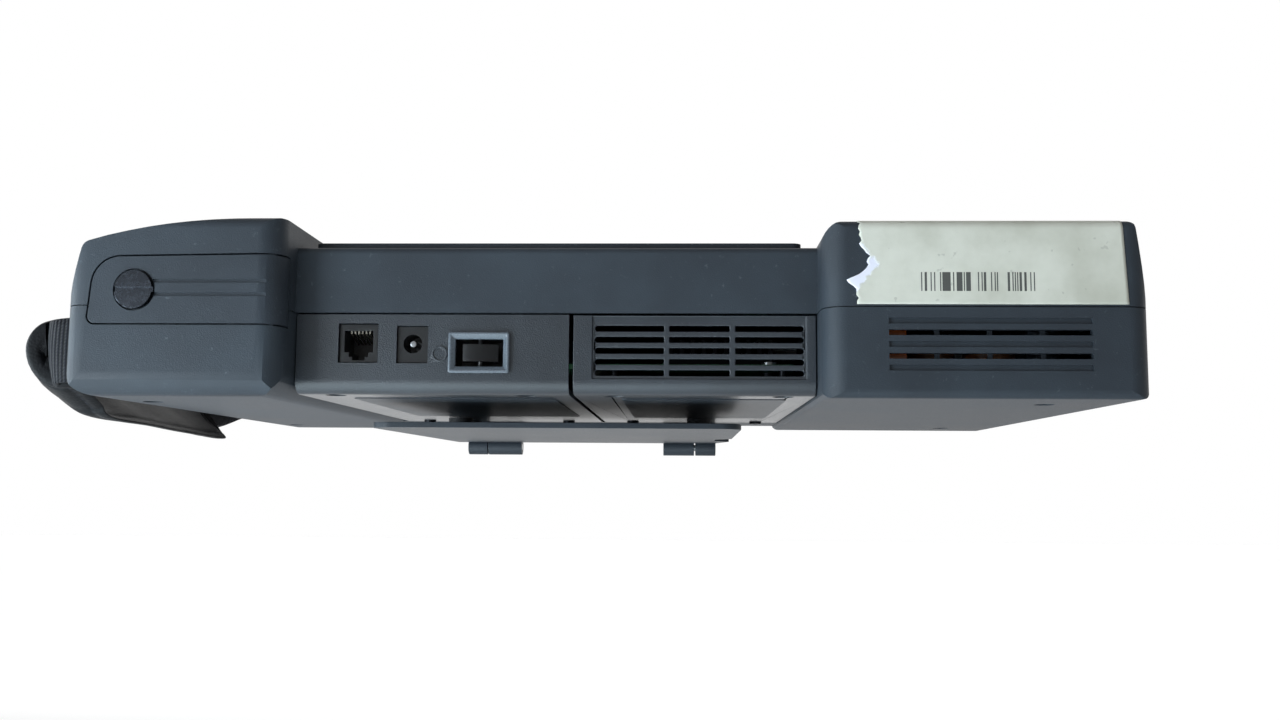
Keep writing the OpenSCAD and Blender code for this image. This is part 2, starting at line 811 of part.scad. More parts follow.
module battery_bay() {
    color("#5B626A") place() difference() {
        box(
            pack_x0 - slide_fit - bay_t, bay_front - bay_t, pack_z0 - 0.5 - bay_t,
            pack_x1 + slide_fit + bay_t, door_seat - 2.8, pack_z1 + 0.4 + bay_t
        );
        box(
            pack_x0 - slide_fit, bay_front, pack_z0 - 0.5,
            pack_x1 + slide_fit, door_seat, pack_z1 + 0.4
        );
    }
}

module battery_contacts() {
    color("#C8A24A") place() for (i = [0:4]) {
        x = pack_x0 + 7 + i * 6;
        box(x - 1.5, bay_front, pack_z0 + 4, x + 1.5, bay_front + 2.6, pack_z0 + 9);
    }
}

// Two rows of cells in a shrink-wrapped case: long sides rounded to the cells' radius
module battery_pack() {
    r = 6;
    color("#2F3B4D") place() prism_y(
        rounded(pack_x0, pack_z0, pack_x1, pack_z1, [r, r, r, r]), pack_rear - pack_length, pack_rear
    );
}

module battery_door() {
    color("#3F474F") place() difference() {
        intersection() {
            grip_form(0);
            union() {
                door_region(0, door_seat + 0.4, wall);
            }
        }
        rod_y(coin_x, coin_z, coin_screw_d + 1.4, half_d - 1.4, half_d + 1);
        rod_y(coin_x, coin_z, 5.4, door_seat - 1, half_d + 1);
        for (z = [37.9, 33.4]) box(grip_x + 4.3, half_d - 0.7, z - 0.6, coin_x - coin_screw_d / 2, half_d + 1, z + 0.6);
    }
}

module door_gasket() {
    y0 = door_seat;
    color("#1E2022") place() difference() {
        box(pack_x0 - 1.4, y0, pack_z0 - 1, pack_x1 + 1.4, y0 + 0.3, pack_z1 + 0.9);
        box(pack_x0 - 0.7, y0 - 1, pack_z0 - 0.55, pack_x1 + 0.7, y0 + 1, pack_z1 + 0.45);
    }
}

coin_shank = 5;

module door_screw() {
    color("#3A3D41") place() difference() {
        union() {
            rod_y(coin_x, coin_z, coin_screw_d, half_d - 1.3, half_d + 0.9);
            rod_y(coin_x, coin_z, coin_shank, half_d - 14, half_d - 1.3);
        }
        box(coin_x - 8, half_d - 0.2, coin_z - 0.8, coin_x + 8, half_d + 2, coin_z + 0.8);
    }
}

module screw_retainer() {
    color("#B9BCBF") place() difference() {
        rod_y(coin_x, coin_z, 9, door_seat - 0.9, door_seat - 0.1);
        rod_y(coin_x, coin_z, coin_shank, door_seat - 2, door_seat + 1);
    }
}

module screw_insert() {
    color("#B89A52") place() difference() {
        rod_y(coin_x, coin_z, 9, door_seat - 13, door_seat - 1.2);
        rod_y(coin_x, coin_z, coin_shank + 0.2, door_seat - 14, door_seat);
    }
}

// ---- Hand strap: webbing from slot to slot with a padded sleeve round its middle ----
// Stations along the strap: distance out from the grip's side, y, height of the middle, lean from upright,
// and the sleeve's share of its full width
strap_route = [
    [-4, 102, 16.4, 0, 1], [5, 101.2, 16.4, 0, 1], [12.5, 99.3, 15.6, 3, 1], [18, 94, 13.4, 10, 1],
    [20.5, 86, 10.8, 22, 0.7], [20, 70, 9, 32, 0.8], [17.4, 40, 9, 42, 0.9], [20.4, 10, 8, 50, 0.98],
    [22, -20, 7.2, 52, 1], [16, -48, 9, 38, 0.86], [13.6, -66, 12, 22, 1], [11, -80, 14.8, 8, 1],
    [8, -92, 16.2, 2, 1], [3, -100, 16.4, 0, 1], [-4, -101, 16.4, 0, 1]
];

// A band swept through stations: each ring is the section turned by the station's lean
module band(stations, section, taper = false) {
    n = len(section);
    m = len(stations);
    rings = [
        for (i = [0:m - 1]) let (
            s = stations[i],
            before = stations[max(i - 1, 0)],
            after = stations[min(i + 1, m - 1)],
            run = atan2(after[1] - before[1], after[0] - before[0]),
            side = [sin(run), -cos(run)],
            k = taper ? s[4] : 1
        )
        for (p = section) let (
            across = k * p[0] * cos(s[3]) - p[1] * sin(s[3]),
            out = k * p[0] * sin(s[3]) + p[1] * cos(s[3])
        )
        [half_w + s[0] - out * side[0], s[1] - out * side[1], s[2] + across]
    ];
    polyhedron(
        rings,
        concat(
            [[for (j = [0:n - 1]) j]],
            [for (i = [0:m - 2], j = [0:n - 1]) [i * n + j, (i + 1) * n + j, (i + 1) * n + (j + 1) % n]],
            [for (i = [0:m - 2], j = [0:n - 1]) [i * n + j, (i + 1) * n + (j + 1) % n, i * n + (j + 1) % n]],
            [[for (j = [n - 1:-1:0]) (m - 1) * n + j]]
        )
    );
}

webbing_t = 2;
pad_t = 6.5;

// Half an ellipse-ended section: width along the strap's height, thickness outwards
function lens(w, t, n) = [for (i = [0:n - 1]) let (a = 360 * i / n) [w / 2 * sign(cos(a)) * pow(abs(cos(a)), 0.6), t / 2 * sin(a)]];

function flat_section(w, t) = [[-w / 2, -t / 2], [w / 2, -t / 2], [w / 2, t / 2], [-w / 2, t / 2]];

module strap_webbing() {
    color("#17181A") place() band(strap_route, flat_section(webbing_width, webbing_t));
}

module strap_pad() {
    color("#141517") place() band([for (i = [4:9]) strap_route[i]], lens(pad_width, pad_t, 14), true);
}

module strap_bars() {
    color("#9DA0A3") place() for (y = [strap_y0, strap_y1]) rod_z(bar_x, y, bar_d, bar_z0, part_line - 1);
}

// ---- Stand: a plate under the middle section on two hinges near the user's edge ----
stand_x0 = mid_x + 2.7 - stand_width / 2;
stand_x1 = stand_x0 + stand_width;
stand_t = 2;
stand_z0 = -8;
hinge_y = -half_d + 30;
stand_y0 = hinge_y + knuckle_d / 2 + 1;
stand_y1 = stand_y0 + stand_depth;
pin_d = 3;
// Each hinge: the short outer knuckle on the bracket, then the long knuckle on the plate
knuckles = [[-43.6, -33.8, -33.2, -18.3], [76.8, 67.4, 67, 50.7]];
stand_screw_spots = [for (k = knuckles, s = [-6, 6]) [(k[0] + k[3]) / 2 + s, -half_d + 12]];

function low(a, b) = min(a, b);
function high(a, b) = max(a, b);

module stand_plate() {
    notch = 7;
    color("#3B4046") place() difference() {
        union() {
            slab(
                concat(
                    [[stand_x0 + 6, stand_y0], [stand_x1 - 6, stand_y0]],
                    arc(stand_x1 - 8, stand_y1 - 8, 8, 0, 90),
                    arc(stand_x0 + 8, stand_y1 - 8, 8, 90, 180),
                    [
                        [stand_x0, stand_y0 + 56], [stand_x0 + notch, stand_y0 + 49],
                        [stand_x0 + notch, stand_y0 + 31], [stand_x0, stand_y0 + 24]
                    ]
                ),
                stand_z0, stand_z0 + stand_t
            );
            for (k = knuckles) {
                x0 = low(k[2], k[3]);
                x1 = high(k[2], k[3]);
                rod_x(hinge_y, hinge_z, knuckle_d, x0, x1);
                box(x0, hinge_y, stand_z0 + 0.3, x1, stand_y0 + 4, stand_z0 + stand_t);
            }
        }
        rod_x(hinge_y, hinge_z, pin_d + 0.1, -60, 100);
    }
}

module stand_brackets() {
    color("#33373C") place() for (k = knuckles) {
        x0 = low(k[0], k[1]);
        x1 = high(k[0], k[1]);
        difference() {
            union() {
                rod_x(hinge_y, hinge_z, knuckle_d, x0, x1);
                box(x0, hinge_y - knuckle_d / 2, hinge_z, x1, hinge_y, cover_bottom);
                box(low(x0, k[3]), -half_d + 8, cover_bottom - 2, high(x1, k[3]), hinge_y, cover_bottom);
            }
            rod_x(hinge_y, hinge_z, pin_d, x0 - 1, x1 + 1);
            for (p = stand_screw_spots) {
                rod_z(p[0], p[1], screw_d, -1, cover_bottom + 1);
            }
        }
    }
}

module stand_pins() {
    color("#B5B8BB") place() for (k = knuckles) {
        rod_x(hinge_y, hinge_z, pin_d, low(k[0], k[3]), high(k[0], k[3]));
    }
}

module stand_bumpers() {
    color("#1B1C1D") place() for (x = [stand_x0 + 14, stand_x1 - 14], y = [stand_y0 + 16, stand_y0 + 40]) {
        rod_z(x, y, 11, stand_z0 + stand_t, cover_bottom - 0.4);
    }
}

module stand_screws() {
    color("#8C9096") place() for (p = stand_screw_spots) {
        rod_z(p[0], p[1], head_d, cover_bottom - 3.6, cover_bottom - 2);
        rod_z(p[0], p[1], screw_d, cover_bottom - 2, cover_bottom + 5);
    }
}

// ---- Labels: blank plates, thin enough to be skins ----
label_t = 0.25;

module rating_label_io() {
    color("#24272B") place() slab(rounded(18, -30, 90, 78, [2, 2, 2, 2]), cover_bottom - label_t, cover_bottom);
}

module rating_label_vent() {
    color("#24272B") place() slab(rounded(-64, -36, -6, 78, [2, 2, 2, 2]), cover_bottom - label_t, cover_bottom);
}

module asset_label() {
    color("#C9CBC0") place() box(-169, half_d, part_line + 0.8, -84, half_d + label_t, drive_height - 3.2);
}

lower_shell();
upper_shell();
case_seal();
io_cover();
vent_cover();
case_screws();
cover_screws();
display_bezel();
touch_glass();
display_gasket();
lcd_panel();
display_tray();
backlight_inverter();
main_board();
main_chips();
heat_sink();
backup_cell();
board_spacers();
board_screws();
power_board();
filter_capacitors();
power_coils();
hard_drive();
drive_bracket();
ribbon_cable();
phone_jack();
phone_contacts();
dc_jack();
dc_pin();
switch_frame();
switch_rocker();
switch_terminals();
battery_bay();
battery_contacts();
battery_pack();
battery_door();
door_gasket();
door_screw();
screw_retainer();
screw_insert();
strap_bars();
strap_webbing();
strap_pad();
stand_plate();
stand_brackets();
stand_pins();
stand_bumpers();
stand_screws();
rating_label_io();
rating_label_vent();
asset_label();
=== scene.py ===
# %% [markdown]
# # A rugged data collector, seen from its rear
# The solids of the case, its covers and everything inside come ready made, in one fixed frame in metres.
# This lesson dresses them: it rounds their moulded edges, makes the soft and thin pieces that solids
# cannot give, and builds a material for every surface.

import math

import bpy
import numpy as np
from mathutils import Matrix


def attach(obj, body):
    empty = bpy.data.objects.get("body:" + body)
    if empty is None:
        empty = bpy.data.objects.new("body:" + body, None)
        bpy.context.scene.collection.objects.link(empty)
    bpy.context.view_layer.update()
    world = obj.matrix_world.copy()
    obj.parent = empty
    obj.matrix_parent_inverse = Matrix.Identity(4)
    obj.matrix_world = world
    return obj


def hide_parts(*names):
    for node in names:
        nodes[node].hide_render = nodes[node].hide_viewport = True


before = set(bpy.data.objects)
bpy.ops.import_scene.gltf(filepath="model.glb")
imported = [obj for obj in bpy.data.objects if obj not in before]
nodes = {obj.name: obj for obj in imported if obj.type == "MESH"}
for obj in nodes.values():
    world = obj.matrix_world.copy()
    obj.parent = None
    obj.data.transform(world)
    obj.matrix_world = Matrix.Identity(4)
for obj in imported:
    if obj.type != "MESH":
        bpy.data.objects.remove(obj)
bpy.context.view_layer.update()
MM = 0.001

# %% [markdown]
# Shader maths is easier to read as ordinary arithmetic. The small class below wraps one socket of a node
# tree, so that 1 - mask or grain * 0.3 adds the Math nodes for us, and one method, add, makes any other node.

# %% Shader arithmetic
class Value:
    """One output socket that can be added, multiplied and compared like a number."""

    def __init__(self, shader, socket):
        self.shader, self.socket = shader, socket

    def math(self, operation, *others, swap=False, clamp=False):
        terms = [self, *others]
        if swap:
            terms.reverse()
        settings = {"operation": operation, "use_clamp": clamp}
        return self.shader.add("ShaderNodeMath", settings, dict(enumerate(terms)))

    def __add__(self, other): return self.math("ADD", other)
    __radd__ = __add__
    def __sub__(self, other): return self.math("SUBTRACT", other)
    def __rsub__(self, other): return self.math("SUBTRACT", other, swap=True)
    def __mul__(self, other): return self.math("MULTIPLY", other)
    __rmul__ = __mul__
    def __truediv__(self, other): return self.math("DIVIDE", other)
    def __pow__(self, other): return self.math("POWER", other)
    def __gt__(self, other): return self.math("GREATER_THAN", other)
    def __lt__(self, other): return self.math("LESS_THAN", other)

    def clipped(self): return self.math("ADD", 0.0, clamp=True)
    def largest(self, other): return self.math("MAXIMUM", other)
    def size(self): return self.math("ABSOLUTE")
    def sine(self): return self.math("SINE")
    def fraction(self): return self.math("FRACT")

    def ramp(self, low, high):
        """0 at low, 1 at high and smooth between them."""
        return self.shader.add(
            "ShaderNodeMapRange", {"interpolation_type": "SMOOTHSTEP"},
            {"Value": self, "From Min": low, "From Max": high}, "Result")


class Shader:
    """A new material with one Principled shader, and the method that adds every other node."""

    def __init__(self, name, **constants):
        self.material = bpy.data.materials.new(name)
        self.material.use_nodes = True
        self.tree = self.material.node_tree
        self.surface = self.tree.nodes["Principled BSDF"]
        for socket, value in constants.items():
            self.surface.inputs[socket.replace("_", " ")].default_value = value

    def join(self, source, socket):
        self.tree.links.new(source.socket if isinstance(source, Value) else source, socket)

    def add(self, kind, settings=None, inputs=None, output=0):
        node = self.tree.nodes.new(kind)
        for key, value in (settings or {}).items():
            setattr(node, key, value)
        for key, value in (inputs or {}).items():
            if isinstance(value, Value):
                self.join(value, node.inputs[key])
            else:
                node.inputs[key].default_value = value
        return Value(self, node.outputs[output])

    def place(self):
        """Where a point lies on the piece, in metres, in the one shared frame."""
        return self.add("ShaderNodeTexCoord", output="Object")

    def axis(self, place, name):
        return self.add("ShaderNodeSeparateXYZ", None, {0: place}, "XYZ".index(name))

    def noise(self, place, scale, detail=2.0, roughness=0.5, stretch=(1, 1, 1)):
        """Soft random patches from 0 to 1, about 1 / scale metres across."""
        turned = self.add("ShaderNodeMapping", None, {"Vector": place, "Scale": stretch})
        return self.add(
            "ShaderNodeTexNoise", None,
            {"Vector": turned, "Scale": scale, "Detail": detail, "Roughness": roughness})

    def cells(self, place, scale, randomness=1.0):
        """Distance to the nearest of many scattered points: the pebbles of a moulded grain."""
        return self.add(
            "ShaderNodeTexVoronoi", None, {"Vector": place, "Scale": scale, "Randomness": randomness})

    def blend(self, amount, one, two):
        """Colour one where amount is 0, and colour two where it is 1."""
        node = self.tree.nodes.new("ShaderNodeMix")
        node.data_type = "RGBA"
        for key, value in ((0, amount), (6, one), (7, two)):
            if isinstance(value, Value):
                self.join(value, node.inputs[key])
            else:
                node.inputs[key].default_value = value
        return Value(self, node.outputs[2])

    def paint(self, **sockets):
        for socket, value in sockets.items():
            self.join(value, self.surface.inputs[socket.replace("_", " ")])

    def bump(self, height, distance, strength=1.0):
        """Lets the surface follow a height map, given in shares of distance."""
        normal = self.add(
            "ShaderNodeBump", None, {"Strength": strength, "Distance": distance, "Height": height}, "Normal")
        self.join(normal, self.surface.inputs["Normal"])


def rgb(code, alpha=1.0):
    """A web colour such as 454B54 as the linear numbers that a shader takes."""
    parts = [int(code[i:i + 2], 16) / 255 for i in (0, 2, 4)]
    return tuple(p / 12.92 if p <= 0.04045 else ((p + 0.055) / 1.055) ** 2.4 for p in parts) + (alpha,)


def shaded(code, share):
    """A web colour darkened, or with a share above 1 lightened, as linear numbers."""
    return tuple(min(1.0, share * c) for c in rgb(code)[:3]) + (1,)


print("shader helpers ready")

# %% [markdown]
# ## Moulded plastic
# The case is injection moulded in a dark blue-grey plastic, spark-eroded to a fine pebble so that scratches
# hide. A Voronoi pattern with cells of 0.4 mm gives the pebbles, and a slow noise darkens and lightens the
# skin a little, as handling does. Short scuffs, paler and smoother, lie where it has been handled most.

# %% Moulded plastic
def moulded_plastic(
        name, colour, worn_colour, roughness=0.5, grain=0.05, gloss_patches=0.08, shine=0.3, coat=0.0):
    """Pebbled plastic: pebbles 0.4 mm across, handling patches 40 mm across and short pale scuffs."""
    s = Shader(name, IOR=1.48, Specular_IOR_Level=shine, Coat_Weight=coat, Coat_Roughness=0.22)
    here = s.place()
    pebbles = s.cells(here, 2600.0)
    handling = s.noise(here, 26.0, 3.0, 0.55)
    dust = s.noise(here, 420.0, 4.0, 0.7)
    scuff = s.noise(here, 150.0, 5.0, 0.62, (0.25, 1.0, 1.4))
    scuffs = scuff.ramp(0.70, 0.76) * handling.ramp(0.45, 0.62)
    tone = s.blend(handling.ramp(0.25, 0.8), rgb(colour), rgb(worn_colour))
    speckled = s.blend(dust.ramp(0.62, 0.80) * 0.16, tone, rgb("9AA3AA"))
    s.paint(
        Base_Color=s.blend(scuffs * 0.45, speckled, rgb("8C949C")),
        Roughness=(roughness + handling * gloss_patches - pebbles * 0.10 - scuffs * 0.08).clipped())
    s.bump(pebbles * 0.8 + dust * 0.2, grain * MM)
    return s.material


case_plastic = moulded_plastic("case_plastic", "2E343B", "363E46")
cover_plastic = moulded_plastic("cover_plastic", "282D33", "31373E", roughness=0.34, grain=0.11,
                                gloss_patches=0.12, shine=0.5, coat=0.35)
door_plastic = moulded_plastic("door_plastic", "2B3138", "343B43")
bezel_plastic = moulded_plastic("bezel_plastic", "282D33", "31373E", roughness=0.55)
bay_plastic = moulded_plastic("bay_plastic", "262B31", "2E343B", roughness=0.6)
stand_coat = moulded_plastic("stand_coat", "2B3036", "343A41", roughness=0.42, grain=0.06)
print("plastics:", case_plastic.name, cover_plastic.name, door_plastic.name)

# %% [markdown]
# ## The other finishes
# Small parts each need their own finish: plated screws, black nylon switch parts, rubber, gilded contacts,
# green circuit board, orange film capacitors. Each function states only what differs.

# %% Metals, rubbers and board finishes
def plain_metal(name, colour, roughness=0.32, brushed=(1, 1, 1)):
    """Bare or plated metal: fine lines along one direction and faint cloudy patches."""
    s = Shader(name, Metallic=1.0)
    here = s.place()
    lines = s.noise(here, 900.0, 2.0, 0.6, brushed)
    cloud = s.noise(here, 60.0, 3.0)
    s.paint(
        Base_Color=s.blend(cloud.ramp(0.3, 0.8) * 0.5, rgb(colour), shaded(colour, 0.72)),
        Roughness=(roughness + lines * 0.16 - 0.06).clipped())
    s.bump(lines, 0.01 * MM)
    return s.material


def smooth_plastic(name, colour, roughness=0.35, mottle=0.25, coat=0.0):
    """Plain injection moulding without grain: faint flow marks, and fine dust that roughens the skin."""
    s = Shader(name, Coat_Weight=coat, Coat_Roughness=0.12)
    here = s.place()
    flow = s.noise(here, 140.0, 3.0, 0.6)
    dust = s.noise(here, 700.0, 4.0, 0.7)
    s.paint(
        Base_Color=s.blend(flow.ramp(0.25, 0.75) * mottle, rgb(colour), shaded(colour, 0.65)),
        Roughness=(roughness + dust * 0.12 - 0.05).clipped())
    s.bump(dust, 0.012 * MM)
    return s.material


def circuit_board(name, colour):
    """Solder mask over copper tracks: a grid of fine lines 1.27 mm apart, lighter where copper lies beneath."""
    s = Shader(name, Coat_Weight=0.5, Coat_Roughness=0.15, Roughness=0.42)
    here = s.place()
    across, along = s.axis(here, "X"), s.axis(here, "Y")
    wander = s.noise(here, 45.0, 1.0)
    track_x = ((across / (1.27 * MM) + wander * 2.0).fraction() - 0.5).size() < 0.13
    track_y = ((along / (1.27 * MM) + wander * 2.0).fraction() - 0.5).size() < 0.13
    copper = (track_x * (wander > 0.5)).largest(track_y * (wander < 0.46))
    s.paint(Base_Color=s.blend(copper, rgb(colour), shaded(colour, 1.7)))
    s.bump(copper, 0.03 * MM)
    return s.material


steel = plain_metal("steel", "B4B7BA", 0.3)
black_zinc = plain_metal("black_zinc", "2A2B2E", 0.36)
coin_metal = plain_metal("coin_metal", "4A4E55", 0.24)
aluminium = plain_metal("aluminium", "BFC2C4", 0.42, (0.2, 3, 3))
brass = plain_metal("brass", "C3A45C", 0.3)
gilt = plain_metal("gilt", "D9B45E", 0.22)
anodised = plain_metal("anodised", "1E1F22", 0.4)
tinned = plain_metal("tinned", "BDB8AA", 0.3)
rubber = smooth_plastic("rubber", "1B1C1E", 0.72, 0.4)
black_plastic = smooth_plastic("black_plastic", "1A1B1D", 0.38, 0.3)
rocker_plastic = smooth_plastic("rocker_plastic", "131416", 0.3, 0.2)
chip_resin = smooth_plastic("chip_resin", "222427", 0.6)
film_orange = smooth_plastic("film_orange", "D06A22", 0.3, 0.35, 0.4)
coil_lacquer = smooth_plastic("coil_lacquer", "8E5524", 0.35, 0.6, 0.5)
pack_sleeve = smooth_plastic("pack_sleeve", "2A3750", 0.28, 0.2, 0.6)
ribbon_grey = smooth_plastic("ribbon_grey", "B7BABD", 0.45)
lcd_glass = smooth_plastic("lcd_glass", "59645F", 0.25, 0.1, 0.8)
touch_film = smooth_plastic("touch_film", "14181B", 0.12, 0.1, 1.0)
board_green = circuit_board("board_green", "1D5A38")
print("finishes:", len(bpy.data.materials))

# %% [markdown]
# ## Rounding the moulded edges
# The solids arrive as loose triangles with knife edges. No moulding has those: the tool's own radius is a
# few tenths of a millimetre, and it is what catches the light. Weld joins the triangles, Bevel rounds every
# edge sharper than 28 degrees, and Weighted Normal lets each large flat face keep its own flat shading
# while the small faces of a rounding blend into it. All three are modifiers on the solid.

# %% Edge rounding for the solids
def soften(node, radius=0.35, segments=2, angle=28.0):
    """Welds a solid's triangles and rounds its sharp edges by radius, in millimetres."""
    solid = nodes[node]
    smooth = np.ones(len(solid.data.polygons), bool)
    solid.data.polygons.foreach_set("use_smooth", smooth)
    weld = solid.modifiers.new("weld", "WELD")
    weld.merge_threshold = 0.002 * MM
    bevel = solid.modifiers.new("edge", "BEVEL")
    bevel.width = radius * MM
    bevel.segments = segments
    bevel.limit_method = "ANGLE"
    bevel.angle_limit = math.radians(angle)
    bevel.miter_outer = "MITER_ARC"
    level = solid.modifiers.new("level", "WEIGHTED_NORMAL")
    level.mode, level.weight, level.keep_sharp = "FACE_AREA", 100, False
    return solid


def dress(material, *names, radius=None, segments=2):
    """Gives several solids one material, and rounds their edges where a radius is given."""
    for name in names:
        solid = nodes[name]
        solid.data.materials.clear()
        solid.data.materials.append(material)
        if radius:
            soften(name, radius, segments)


dress(case_plastic, "lower_shell", "upper_shell", radius=0.45)
dress(cover_plastic, "io_cover", "vent_cover", radius=0.3)
dress(door_plastic, "battery_door", radius=0.4)
dress(bezel_plastic, "display_bezel", radius=0.5)
dress(bay_plastic, "battery_bay", radius=0.2)
dress(stand_coat, "stand_plate", "stand_brackets", radius=0.35)
dress(rubber, "case_seal", "display_gasket", "door_gasket", "stand_bumpers", radius=0.15)
dress(black_plastic, "phone_jack", "dc_jack", radius=0.2)
dress(rocker_plastic, "switch_rocker", radius=0.45)
dress(black_zinc, "case_screws", "cover_screws", "stand_screws", radius=0.2)
dress(steel, "board_screws", "stand_pins", radius=0.2)
dress(steel, "screw_retainer", "strap_bars", "drive_bracket", "backup_cell", "dc_pin", radius=0.15)
dress(steel, "switch_terminals")
dress(coin_metal, "door_screw", radius=0.3)
dress(aluminium, "display_tray", "hard_drive", radius=0.2)
dress(anodised, "heat_sink", "board_spacers", radius=0.15)
dress(brass, "screw_insert")
dress(tinned, "phone_contacts")
dress(gilt, "battery_contacts")
dress(board_green, "main_board", "power_board", "backlight_inverter")
dress(chip_resin, "main_chips", radius=0.2)
dress(film_orange, "filter_capacitors", radius=0.8)
dress(coil_lacquer, "power_coils", radius=0.8)
dress(pack_sleeve, "battery_pack", radius=0.4)
dress(ribbon_grey, "ribbon_cable")
dress(lcd_glass, "lcd_panel", radius=0.2)
dress(touch_film, "touch_glass", radius=0.3)
dress(stand_coat, "rating_label_io", "rating_label_vent")
print("dressed", len(nodes), "solids")

# %% [markdown]
# ## Surfaces on a grid
# A soft or thin piece is one skin: a grid of points worked out as whole arrays, one row for each step along
# the piece and one column for each step across or round it. The next helper turns such a grid into a mesh
# with its own UV map, in millimetres along and across, so that weave and stitches keep their real size.

# %% Grid to mesh
def skin(name, grid, material, wrap=False, caps=False, uv=None):
    """A mesh from points grid[i, j]. wrap joins the last column to the first, and caps closes both ends with
    a fan about the mean of the end ring. uv holds a pair for each grid point, in millimetres."""
    rows, columns = grid.shape[:2]
    points = grid.reshape(-1, 3)
    i, j = np.meshgrid(np.arange(rows - 1), np.arange(columns if wrap else columns - 1), indexing="ij")
    a, b = i * columns + j, i * columns + (j + 1) % columns
    quads = np.stack([a, b, b + columns, a + columns], axis=-1).reshape(-1, 4)
    faces = quads.tolist()
    if caps:
        first, last = len(points), len(points) + 1
        points = np.vstack([points, grid[0].mean(0), grid[-1].mean(0)])
        ring = np.arange(columns)
        after = (ring + 1) % columns
        top = (rows - 1) * columns
        faces += np.stack([after, ring, np.full(columns, first)], axis=-1).tolist()
        faces += np.stack([top + ring, top + after, np.full(columns, last)], axis=-1).tolist()
    mesh = bpy.data.meshes.new(name)
    mesh.from_pydata((points * MM).tolist(), [], faces)
    if uv is not None:
        flat = np.vstack([uv.reshape(-1, 2), np.zeros((len(points) - rows * columns, 2))])
        corner = np.empty(len(mesh.loops), np.int32)
        mesh.loops.foreach_get("vertex_index", corner)
        mesh.uv_layers.new(name="along").data.foreach_set("uv", flat[corner].ravel())
    mesh.polygons.foreach_set("use_smooth", np.ones(len(mesh.polygons), bool))
    mesh.materials.append(material)
    thing = bpy.data.objects.new(name, mesh)
    bpy.context.collection.objects.link(thing)
    return thing


def smooth_path(stations, steps):
    """Rows between stations by Catmull-Rom: each value is a cubic in t through its two neighbours, with a
    slope of half the difference between the stations on either side."""
    stations = np.asarray(stations, float)
    padded = np.vstack([2 * stations[0] - stations[1], stations, 2 * stations[-1] - stations[-2]])
    t = np.linspace(0, len(stations) - 1, steps)
    k = np.minimum(t.astype(int), len(stations) - 2)
    f = (t - k)[:, None]
    before, here, there, after = padded[k], padded[k + 1], padded[k + 2], padded[k + 3]
    return here + 0.5 * f * (there - before + f * (
        2 * before - 5 * here + 4 * there - after + f * (3 * (here - there) + after - before)))


def uv_of(shader):
    return shader.add("ShaderNodeUVMap", {"uv_map": "along"}, output="UV")


print("surface helpers ready")

# %% [markdown]
# ## Hand strap
# A flat nylon web leaves a slot near the rear end of the grip, runs along its side and goes back in near the
# other end. A vinyl sleeve, padded with thin foam and bound along its edges, slides over the middle of it.
# Both hang: the top of the sleeve leans out, its lower edge tucks in under the grip, and near the rear end it
# curls round the web like half a tube. Each has its own path, and the two meet where the web enters the
# sleeve. A path is given as stations: distance out from the grip's side, y, height, lean from upright in
# degrees, the sleeve's share of its full width, and the radius that the section is bent to.

# %% Strap path
SIDE, LIFT = 157.58, 13.8  # the grip's side in X, and the height of the case's underside
web_stations = np.array([
    [-4, 102, 16.4, 0, 1, 200], [4, 101.2, 16.2, 0, 1, 120], [10.5, 98.6, 15.8, 3, 1, 70],
    [14, 93, 15.2, 8, 1, 50], [16.5, 84, 13.8, 14, 1, 40], [21.5, 68, 8.8, 20, 1, 24],
    [20.8, 40, 7.9, 32, 1, 32], [20.9, 10, 6.2, 40, 1, 45], [21.4, -20, 4.6, 42, 1, 45],
    [19.2, -48, 5.7, 30, 1, 30],
    [15.5, -66, 9.5, 14, 1, 60], [12, -80, 13.6, 5, 1, 120], [8, -92, 16.0, 1, 1, 200],
    [3, -100, 16.4, 0, 1, 200], [-4, -101, 16.4, 0, 1, 200]])
sleeve_stations = np.array([
    [19.8, 95.5, 12.6, 22, 0.74, 11.5], [21.8, 88, 12.2, 21, 0.8, 12.5], [23.2, 76, 10.2, 20, 0.9, 15.5],
    [23.4, 66, 8.4, 22, 0.95, 20], [20.8, 40, 7.9, 32, 1, 32], [20.9, 10, 6.2, 40, 1, 45],
    [21.4, -20, 4.6, 42, 1, 45], [19.2, -48, 5.7, 30, 0.88, 30]])


def carried(path, across, out):
    """Carries a section along the path. across runs up the band and out away from the case. Bent to radius R,
    a point stands at b = across / R: up = (R + out) sin b and away = (R + out) cos b - R. Both then turn by the
    lean a: side = up sin a + away cos a and height = up cos a - away sin a, with side along the path's level
    normal."""
    run = np.gradient(path[:, :2], axis=0)
    run /= np.linalg.norm(run, axis=1)[:, None]
    lean, radius = np.radians(path[:, 3])[:, None], path[:, 5:6]
    up = (radius + out) * np.sin(across / radius)
    away = (radius + out) * np.cos(across / radius) - radius
    side = up * np.sin(lean) + away * np.cos(lean)
    height = up * np.cos(lean) - away * np.sin(lean)
    x = path[:, 0:1] + SIDE - run[:, 1:2] * side
    y = path[:, 1:2] + run[:, 0:1] * side
    return np.stack([x, y, path[:, 2:3] + LIFT + height], axis=-1)


def travelled(path):
    """Length along the path at each step, in millimetres."""
    steps = np.linalg.norm(np.diff(path[:, :3], axis=0), axis=1)
    return np.concatenate([[0.0], np.cumsum(steps)])


web_path = smooth_path(web_stations, 260)
print("web path", round(travelled(web_path)[-1]), "mm")

# %% [markdown]
# The web is narrow-woven nylon: stout cross ribs 1.6 mm apart, each broken by the warp into short dashes.
# The weave is drawn from the web's own UV map, so it bends with the web.

